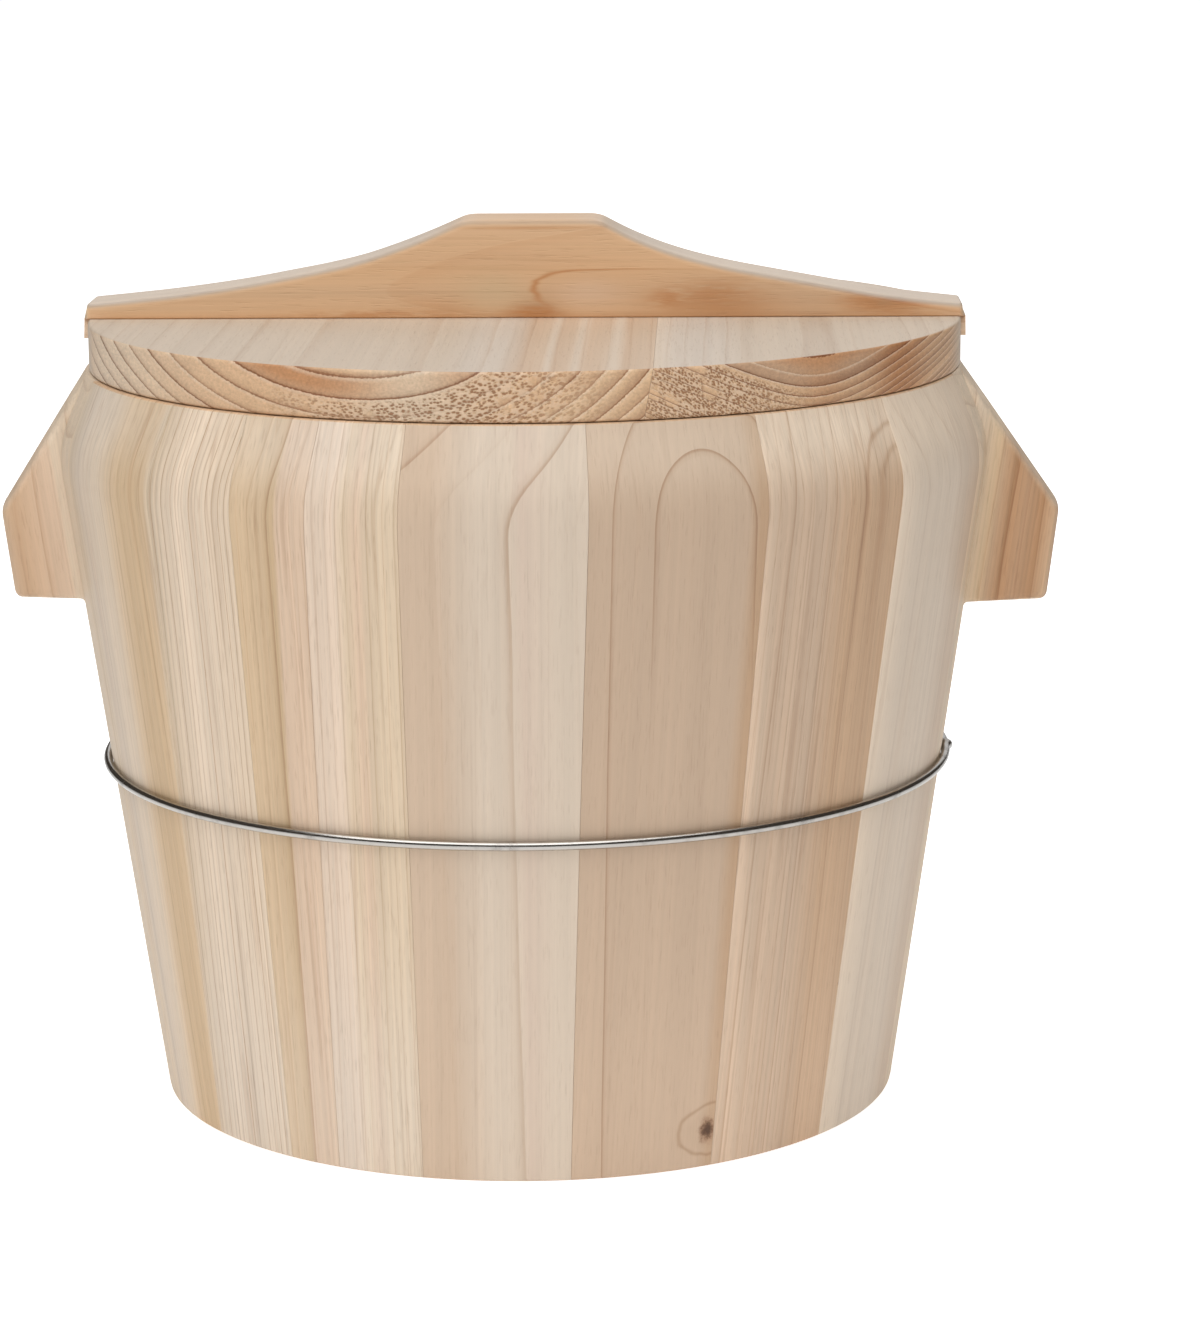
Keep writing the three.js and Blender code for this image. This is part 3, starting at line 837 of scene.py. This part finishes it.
# The ears' faces turned up and their end grain are painted pale, a painted highlight along their outer
# edges.
earBoards = {
    "left": {"toneAxis": "out", "toneWander": 0.03, "gain": 0.97, "paintedTopTone": "pale",
             "tones": [(0.4, "pale"), (0.5, "pale"), (0.53, "blush"), (0.75, "rust"), (0.9, "blush")],
             "pith": (20, -70), "ringWidth": 6.5, "lateDepth": 0.5, "seed": 31, "streak": 0.14, "hair": 0.05,
             "endTones": [(0, "pale"), (90, "pale")]},
    "right": {"toneAxis": "out", "toneWander": 0.07, "paintedTopTone": "pale",
              "tones": [(0.4, "pale"), (0.52, "sand"), (0.56, "rust"), (0.62, "sienna"), (0.7, "clay"),
                        (0.78, "sienna"), (0.87, "rust"), (0.94, "pale")],
              "pith": (-20, -70), "ringWidth": 5.2, "lateDepth": 0.6, "seed": 37, "streak": 0.2,
              "hair": 0.05, "endTones": [(0, "pale"), (90, "pale")]},
}
for side, middle in (("left", -90), ("right", 90)):
    stave = makeEarStave(f"{side}_ear_board", ears[side])
    axes = {**staveAxes((middle - earHalf,) * 2, (middle + earHalf,) * 2), "fan": None, "deep": 1}
    wood = woodMaterial(f"{side}_ear_wood", {**axes, **earBoards[side]})
    dress(stave, f"{side}_ear_stave", "tub", wood)
print("ear staves made")

# Wire hoop with a bead where its ends are welded
hoop = {
    "wire": 2.8,
    "height": 108.4,
    "seat": 0.04,
    "weldAngle": 87,
    "weldLength": 5,
    "weldSwell": 0.5,
    "steps": 480,
    "sides": 20,
    "smoothTo": 60,
}


def makeHoop():
    steps, sides = hoop["steps"], hoop["sides"]
    slope = math.hypot(1, taper)
    points = []
    for i in range(steps):
        angle = 360 * i / steps
        away = math.radians(angle - hoop["weldAngle"]) * outerAt(hoop["height"])
        size = hoop["wire"] / 2 + hoop["weldSwell"] * math.exp(-((away / (hoop["weldLength"] / 2)) ** 2))
        ring = outerAt(hoop["height"]) + (size + hoop["seat"]) * slope
        turn = math.radians(angle)
        for j in range(sides):
            bend = 2 * math.pi * j / sides
            reach = ring + size * math.cos(bend)
            points.append((reach * math.sin(turn), -reach * math.cos(turn),
                           hoop["height"] + size * math.sin(bend)))
    return makePiece("hoop_wire", points, gridFaces(steps, sides, True, True), hoop["smoothTo"])


dress(makeHoop(), "wire_hoop", "tub", wireMaterial("drawn_wire"))
print("hoop made")

# Lid, in mm and in its own frame before it is turned
lid = {
    "turn": -2.5,
    "undersize": 0.7,
    "slide": 0.6,
    "seatGap": 0.2,
    "rim": 14.8,
    "ease": 1.1,
    "rabbet": 6,
    "rabbetClearance": 1.2,
    "rabbetRound": 0.8,
    "joint": 40.8,
    "jointSlant": 10,
    "jointGap": 0.06,
    "steps": {-1: 200, 1: 130},  # points round the left and the right board
    "tailDepth": 6,
    "tailNeck": 18,
    "tailBase": 22,
    "tailGap": 0.1,
}
lidSeat = tub["height"] + lid["seatGap"]
lidTop = lidSeat + lid["rim"]
lidFloor = lidSeat - lid["rabbet"]
lidTurn = Matrix.Rotation(math.radians(lid["turn"]), 3, "Z")
lidRadius = rimRadius - lid["undersize"]


def onLid(x, y, z):
    return lidTurn @ Vector((x, y, z)) + Vector((lid["slide"], 0, 0))


# One board: the lid's outline up to the slanted joint, level by level
def makeLidBoard(name, side):
    boss = innerAt(lidFloor) - lid["rabbetClearance"]
    ease = lid["ease"]
    levels = rounded([
        (boss - 1, lidFloor, 0),
        (boss, lidFloor, lid["rabbetRound"]),
        (boss, lidSeat, 0),
        (lidRadius, lidSeat, ease),
        (lidRadius, lidTop, ease),
        (lidRadius - 2 * ease, lidTop, 0),
    ], closed=False, steps=5)
    count = lid["steps"][side]
    points = []
    for r, z in levels:
        slant = (z - lidSeat - lid["rim"] / 2) * math.tan(math.radians(lid["jointSlant"]))
        joint = lid["joint"] + slant + side * lid["jointGap"] / 2
        front = math.asin(joint / r)
        sweep = side * math.pi - 2 * front
        for i in range(count):
            angle = front + sweep * i / (count - 1)
            points.append(onLid(r * math.sin(angle), -r * math.cos(angle), z))
    board = makePiece(name, points, tubeFaces(len(levels), count, False))
    carve(board, dovetailCutter())
    return board


def dovetailOutline(grow):
    base, neck = lid["tailBase"] / 2 + grow, lid["tailNeck"] / 2 + grow
    low, high = lidTop - lid["tailDepth"] - grow, lidTop + grow
    return [(-base, low), (base, low), (neck, high), (-neck, high)]


def dovetailCutter():
    section = dovetailOutline(lid["tailGap"])
    points = [onLid(x, y, z) for x in (-2 * rimRadius, 2 * rimRadius) for y, z in section]
    return makePiece("groove_cutter", points, tubeFaces(2, len(section), False))


def carve(piece, cutter):
    cut = piece.modifiers.new("cut", "BOOLEAN")
    cut.operation = "DIFFERENCE"
    cut.solver = "MANIFOLD"
    cut.object = cutter
    bpy.context.view_layer.update()
    carved = bpy.data.meshes.new_from_object(piece.evaluated_get(bpy.context.evaluated_depsgraph_get()))
    piece.modifiers.clear()
    old = piece.data
    piece.data = carved
    carved.materials.clear()
    carved.polygons.foreach_set("material_index", [0] * len(carved.polygons))
    bpy.data.meshes.remove(old)
    bpy.data.objects.remove(cutter)
    softEdges(carved, smoothAngle)


lidAxes = {
    "origin": (0, 0, lidTop),
    "along": lidTurn @ Vector((0, 1, 0)),
    "across": lidTurn @ Vector((1, 0, 0)),
    "out": Vector((0, 0, 1)),
}
lidBoards = {
    "left": {"width": 180, "toneWander": 0.02,
             "tones": [(0, "flax"), (0.4, "flax"), (0.44, "linen"), (0.49, "linen"), (0.525, "rose"),
                       (0.55, "fawn"), (0.565, "mist"), (0.58, "rose"), (0.605, "fawn"), (0.62, "mist"),
                       (0.635, "rose"), (0.655, "fawn"), (0.67, "mist"), (0.685, "rose"), (0.71, "fawn")],
             "pith": (-43, 27.1), "squash": 0.65, "ringWidth": 20.25, "growth": 2, "ringShift": 0.82,
             "ringForce": [0.9, 1, 0.8, 1, 0.9, 0.7, 1, 0.8], "lateDepth": 0.24, "endDepth": 0.95,
             "endFacing": (0.2, 0.34), "wander": 1.2, "uneven": 0.08, "streak": 0.06, "torn": (-20, 42),
             "tornFrom": 36, "tornFade": 0.45, "seed": 41, "hair": 0.12,
             "endTones": [(28, "peach"), (30, "ember"), (33, "ember"), (36.5, "apricot"), (38, "peach"),
                          (51, "peach"), (55, "wheat"), (90, "wheat")], "broadFrom": (14, 26),
             "endStains": [(-130, -60, 32, 90, "pale", 0.85), (-26, -120, 16, 90, "beige", 0.8)]},
    "right": {"width": 190, "toneWander": 0.03, "pith": (91, 0),
              "tones": [(0.7, "fawn"), (0.73, "mist"), (0.76, "linen"), (0.81, "linen"), (0.87, "flax")],
              "squash": 0.53, "fold": 8, "ringWidth": 10.5, "growth": 2, "ringShift": 0.37,
              "ringForce": [0.9, 0.12, 1, 1, 0.9, 0.7, 1, 0.8], "lateDepth": 0.24, "endDepth": 0.95,
              "endFacing": (0.08, 0.32), "wander": 1.2, "uneven": 0.08, "streak": 0.06, "hair": 0.12,
              "torn": (58, 26), "tornFrom": 17, "seed": 43,
              "endTones": [(8, "ember"), (12, "clay"), (16.6, "clay"), (17.6, "peach"), (30, "peach")],
              "broadFrom": (84, 98),
              "endStains": [(116, -90, 9, 80, "ember", 0.9), (92, -90, 7, 80, "ember", 0.4)]},
}
for side, sign in (("left", -1), ("right", 1)):
    board = makeLidBoard(f"{side}_lid_board", sign)
    wood = woodMaterial(f"{side}_lid_wood", {**lidAxes, **lidBoards[side]})
    dress(board, f"lid_board_{side}", "lid", wood)
print("lid boards made")

# Batten, in mm: a humped plank with hollow flanks, slid in by its dovetail
batten = {
    "overhang": 0.15,
    "tailProud": 1,
    "thickness": 24,
    "ends": (4.9, 4.2),  # heights of the left and the right end
    "endRound": 1.2,
    "humpHeight": 30.7,
    "humpFlat": 41.2,
    "humpOffset": 2.6,
    "humpRound": (3, 2, 0.9),  # where the round starts and ends beside the hump's edge, and its drop
    # the flanks, out from the hump and up
    "left": [(11.3, 25.8), (22, 21.7), (33, 18.1), (44, 15.5), (56, 13.2), (69.7, 10.7), (84, 8.6),
             (98, 6.9)],
    "right": [(10.7, 25.4), (20.9, 21.3), (31, 18.2), (42, 15.6), (54, 13.3), (65, 11.3), (76, 9.3),
              (87, 7.4), (99.3, 5.7)],
    "edgeRound": 2.6,
    "endTaper": (1, 0.6),  # how near to an end it narrows, and by how much for each mm
    "seat": 0.05,
    "footEase": 0.35,
}


# A smooth line through points
def throughPoints(points, steps=6):
    line = []
    for i in range(len(points) - 1):
        a, b, c, d = [points[min(max(k, 0), len(points) - 1)] for k in range(i - 1, i + 3)]
        for j in range(steps):
            t = j / steps
            weights = (-t ** 3 + 2 * t * t - t, 3 * t ** 3 - 5 * t * t + 2,
                       -3 * t ** 3 + 4 * t * t + t, t ** 3 - t * t)
            line.append(tuple(sum(w * p[k] for w, p in zip(weights, (a, b, c, d))) / 2 for k in (0, 1)))
    return line + [points[-1]]


# Half of the batten's top, from the hump's edge to one end
def battenFlank(side, edge, end, low):
    hump, size = lidTop + batten["humpHeight"], batten["endRound"]
    sign = -1 if side == "left" else 1
    bends = [(edge + sign * out, lidTop + up) for out, up in batten[side]]
    before, after, drop = batten["humpRound"]
    shoulder = (edge + sign * after, hump - drop)
    line = curve((edge - sign * before, hump), (edge, hump), shoulder, 5)
    line += throughPoints([shoulder, *bends, (end - sign * size, low)])[1:]
    return line + curve((end - sign * size, low), (end, low), (end, low - size), 5)[1:]


# Top of the batten from end to end, as (x, z)
def battenTop():
    end = lidRadius + batten["overhang"]
    leftLow, rightLow = [lidTop + up for up in batten["ends"]]
    left, right = [batten["humpOffset"] + sign * batten["humpFlat"] / 2 for sign in (-1, 1)]
    line = battenFlank("left", left, -end, leftLow)[::-1]
    line += [(left + (right - left) * t / 8, lidTop + batten["humpHeight"]) for t in range(1, 8)]
    return line + battenFlank("right", right, end, rightLow)


def makeBatten():
    foot = lidTop + batten["seat"]
    half = batten["thickness"] / 2
    tail = dovetailOutline(0)
    tailBase, tailFloor = tail[1]
    neck = tail[2][0]
    end = lidRadius + batten["overhang"]
    taperLength, taperRate = batten["endTaper"]
    points = []
    for x, z in battenTop():
        wide = half - max(0, abs(x) - end + taperLength) * taperRate
        size = min(batten["edgeRound"], (z - foot) * 0.8)
        ease = batten["footEase"]
        top = rounded([(ease - wide, foot, 0), (-wide, foot + ease, 0), (-wide, z, size), (wide, z, size),
                       (wide, foot + ease, 0), (wide - ease, foot, 0)], False, 5)
        points += [onLid(x, y, up) for y, up in top]
        tailX = x * (1 + batten["tailProud"] / end)
        under = [(neck, foot), (tailBase, tailFloor), (-tailBase, tailFloor), (-neck, foot)]
        points += [onLid(tailX, y, up) for y, up in under]
    count = len(top + under)
    return makePiece("batten_plank", points, tubeFaces(len(points) // count, count, False))


battenWood = {
    "origin": (0, 0, lidTop),
    "along": lidTurn @ Vector((1, 0, 0)),
    "across": Vector((0, 0, 1)),
    "out": lidTurn @ Vector((0, -1, 0)),
    "tones": [(0.5, "peach"), (0.6, "honey"), (0.75, "peach"), (1, "honey")],
    "gain": 1.07,
    # its top is painted paler as a painted highlight, spared over the hump's middle, and the edge round it
    # painted darker as painted shade
    "paintedTopTone": "linen",
    "paintedEdgeShade": 0.28,
    "paintedTopSpared": (2.6, 25, 0.8),
    "pith": (12, -20),
    "lean": (0.01, 0.06),
    "ringWidth": 7,
    "wander": 4,
    "lateTint": (0.78, 0.55, 0.36, 1),
    "streak": 0.06,
    "hair": 0.15,
    "fleck": 0.1,
    # the band at across 0, along the whole foot, is painted shade where the batten sits on the lid
    "stainsAndPaintedLight": [(5, 85, 9, 40, "rust", 0.6), (2.5, 62, 5, 20, "ember", 0.65),
               (2.5, -22, 4.5, 14, "ember", 0.3), (2.5, 5, 4.5, 7, "sienna", 0.7),
               (28.2, 2, 0.5, 22, "ember", 0.5), (0, 0, 1.2, 400, "ember", 0.45),
               (8, -9, 6, 11, "tan", 0.8), (8, 21, 4, 10, "blush", 0.5),
               (1.2, 4.5, 1.7, 7, "ember", 0.8), (4.5, 114, 3, 13, "ember", 0.9),
               (7, 61, 4, 11, "sienna", 0.45), (-4, 134, 3.2, 4, "cream", 1),
               (-4, -134, 3.2, 4, "cream", 1)],
    "patches": [(1.8, 3.5, 2.2, 8, "ember", 1), (6, 46, 3, 6, "ember", 0.8), (7, 61, 5, 13, "ember", 0.6),
                (4.6, 113, 3.4, 10, "ember", 1), (4.6, 114, 2, 6, "sienna", 0.8),
                (1, -45, 1.6, 26, "ember", 0.7), (20, -12, 3, 30, "amber", 0.6)],
    "eyes": [(8.5, 38, 6.5, 32, "ember")],
    "endFacing": (0.3, 0.7),
    "endTones": [(0, "sand"), (90, "sand")],
    "seed": 51,
}
dress(makeBatten(), "lid_batten", "lid", woodMaterial("batten_wood", battenWood))
print("batten made")


# Sawn bars and slats keep their solids, with their edges broken
sawn = {
    "edge": 0.7,
    "edgeAngle": 40,
    "seeds": (60, 23),  # the first one and how many
    "along": {"grate_slat": (1, 0, 0), "grate_bearer": (0, 1, 0), "cross_bar_upper": (1, 1, 0),
              "cross_bar_lower": (-1, 1, 0)},
    "grain": {"tones": [(0, "sand"), (0.5, "pale"), (1, "sand")], "width": 16, "pith": (20, -30),
              "ringWidth": 3.5, "lateDepth": 0.3, "wander": 3, "roughness": 0.66},
}


def breakEdges(node):
    weld = node.modifiers.new("weld", "WELD")
    weld.merge_threshold = 1e-6
    bevel = node.modifiers.new("edges", "BEVEL")
    bevel.width = sawn["edge"] * mm
    bevel.segments = 2
    bevel.limit_method = "ANGLE"
    bevel.angle_limit = math.radians(sawn["edgeAngle"])


def paint(name, material):
    for slot in nodes[name].material_slots:
        slot.material = material


for name in nodes:
    for kind, way in sawn["along"].items():
        if name.startswith(kind):
            low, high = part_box(name)
            along = Vector(way).normalized()
            axes = {"origin": (low + high) / 2 / mm, "along": along, "across": along.cross((0, 0, 1)),
                    "out": (0, 0, 1)}
            firstSeed, seeds = sawn["seeds"]
            seed = firstSeed + sum(map(ord, name)) % seeds
            paint(name, woodMaterial(name + "_wood", {**axes, **sawn["grain"], "seed": seed}))
            breakEdges(nodes[name])
print("grate and bars dressed")

bambooGrain = {"tones": [(0, "bamboo"), (1, "bamboo")], "ringWidth": 1.2, "pith": (0, -30), "lateDepth": 0.3,
               "streak": 0.2, "width": 8, "endTones": [(0, "bamboo"), (90, "bamboo")], "wander": 0.5}
pinWood = woodMaterial("pin_bamboo", {**bambooGrain, "seed": 91})
dowelWood = woodMaterial("dowel_bamboo", {**bambooGrain, "along": (1, 0, 0), "across": (0, 1, 0),
                                          "out": (0, 0, 1), "seed": 93})
for name in nodes:
    if name.startswith("stave_pin"):
        paint(name, pinWood)
    elif name.startswith("lid_dowel"):
        paint(name, dowelWood)
print("pins dressed")

# Camera where the photograph was taken, in m, degrees and pixels of its frame
shot = {
    "distance": 1.3266,
    "height": 0.41016,
    "pitch": 11.736,
    "yaw": 1.017,
    "roll": 0.39,
    "focalPixels": 4212.85,
    "framePixels": (1200, 1328),
    "sensor": 36,
    "clipEnd": 50,
}


def makeCamera():
    data = bpy.data.cameras.new("shot")
    camera = newObject("shot", data)
    data.sensor_width = shot["sensor"]
    data.lens = shot["focalPixels"] / max(shot["framePixels"]) * data.sensor_width
    data.clip_end = shot["clipEnd"]
    turn = (Matrix.Rotation(math.radians(-shot["yaw"]), 4, "Z")
            @ Matrix.Rotation(math.radians(90 - shot["pitch"]), 4, "X")
            @ Matrix.Rotation(math.radians(-shot["roll"]), 4, "Z"))
    camera.matrix_world = Matrix.Translation((0, -shot["distance"], shot["height"])) @ turn
    bpy.context.scene.camera = camera


# Soft studio: a pale floor, a grey surround, wide lamps above and in front and a weak one behind
studio = {
    "floorSize": 24,
    "floorColour": (0.86, 0.86, 0.86, 1),
    "floorShine": 0.71,
    "patchReach": (0.15, 0.85),  # the patch of floor round the foot that glows, standing in for lit paper: painted bounce light on the tub and a painted reflection in the wire, in m
    "patchGlow": 0.38,
    "patchGloss": 0.24,
    "surround": (0.36, 0.36, 0.36, 1),
    "darkRoom": (0.06, 0.05, 0.042, 1),
    "aim": (0, 0, 0.13),
    "lamps": [
        {"name": "overhead", "at": (-0.2, -0.6, 2.0), "size": 2.4, "power": 40, "mirrored": True},
        {"name": "back", "at": (0.4, 3.0, 1.4), "size": 2.4, "power": 12, "mirrored": True},
        {"name": "front", "at": (-0.25, -3.0, 1.2), "size": 2.4, "power": 19.8, "mirrored": False},
    ],
}


def rayKinds(sock):
    outputs = sock.node("ShaderNodeLightPath").socket.node.outputs
    return [Sock(sock.tree, outputs[key]) for key in ("Is Camera Ray", "Is Glossy Ray", "Is Diffuse Ray")]


def makeFloor():
    mesh = bpy.data.meshes.new("floor")
    half = studio["floorSize"] / 2
    corners = [(-half, -half, 0), (half, -half, 0), (half, half, 0), (-half, half, 0)]
    mesh.from_pydata(corners, [], [(0, 1, 2, 3)])
    floor = newObject("floor", mesh)
    material, s = newMaterial("floor_white")
    camera, glossy, diffuse = rayKinds(s)
    away = s.vector("LENGTH", s.node("ShaderNodeTexCoord", output="Object"), output="Value")
    patch = 1 - away.step(*studio["patchReach"])
    # the patch glows though it is no lamp: painted bounce light to diffuse rays, a painted reflection to
    # glossy rays
    glowing = (diffuse * studio["patchGlow"] + glossy * studio["patchGloss"]) * patch
    paper = s.node("ShaderNodeBsdfDiffuse", {}, {"Color": studio["floorColour"]})
    glow = s.node("ShaderNodeEmission", {}, {"Color": glowing + camera * studio["floorShine"]})
    both = s.node("ShaderNodeAddShader", {}, {0: paper, 1: glow})
    s.node("ShaderNodeOutputMaterial", {}, {"Surface": both})
    mesh.materials.append(material)


# White to the camera, soft grey to the wood and dark in the wire
def makeSurround():
    world = bpy.data.worlds.new("surround")
    world.use_nodes = True
    world.node_tree.nodes.clear()
    bpy.context.scene.world = world
    s = Sock(world.node_tree)
    camera, glossy = rayKinds(s)[:2]
    room = s.mix(camera, studio["surround"], (1, 1, 1, 1))
    glow = s.node("ShaderNodeBackground", {}, {"Color": s.mix(glossy, room, studio["darkRoom"])})
    s.node("ShaderNodeOutputWorld", {}, {"Surface": glow})


def makeLamps():
    for lamp in studio["lamps"]:
        light = bpy.data.lights.new(lamp["name"], "AREA")
        light.size = lamp["size"]
        light.energy = lamp["power"]
        holder = newObject(lamp["name"], light)
        holder.visible_glossy = lamp["mirrored"]  # the wire doesn't show the lamp in front
        aim = (Vector(studio["aim"]) - Vector(lamp["at"])).to_track_quat("-Z", "Y")
        holder.matrix_world = Matrix.Translation(lamp["at"]) @ aim.to_matrix().to_4x4()


makeCamera()
makeFloor()
makeSurround()
makeLamps()
bpy.context.scene.view_settings.view_transform = "Standard"
print("studio ready")
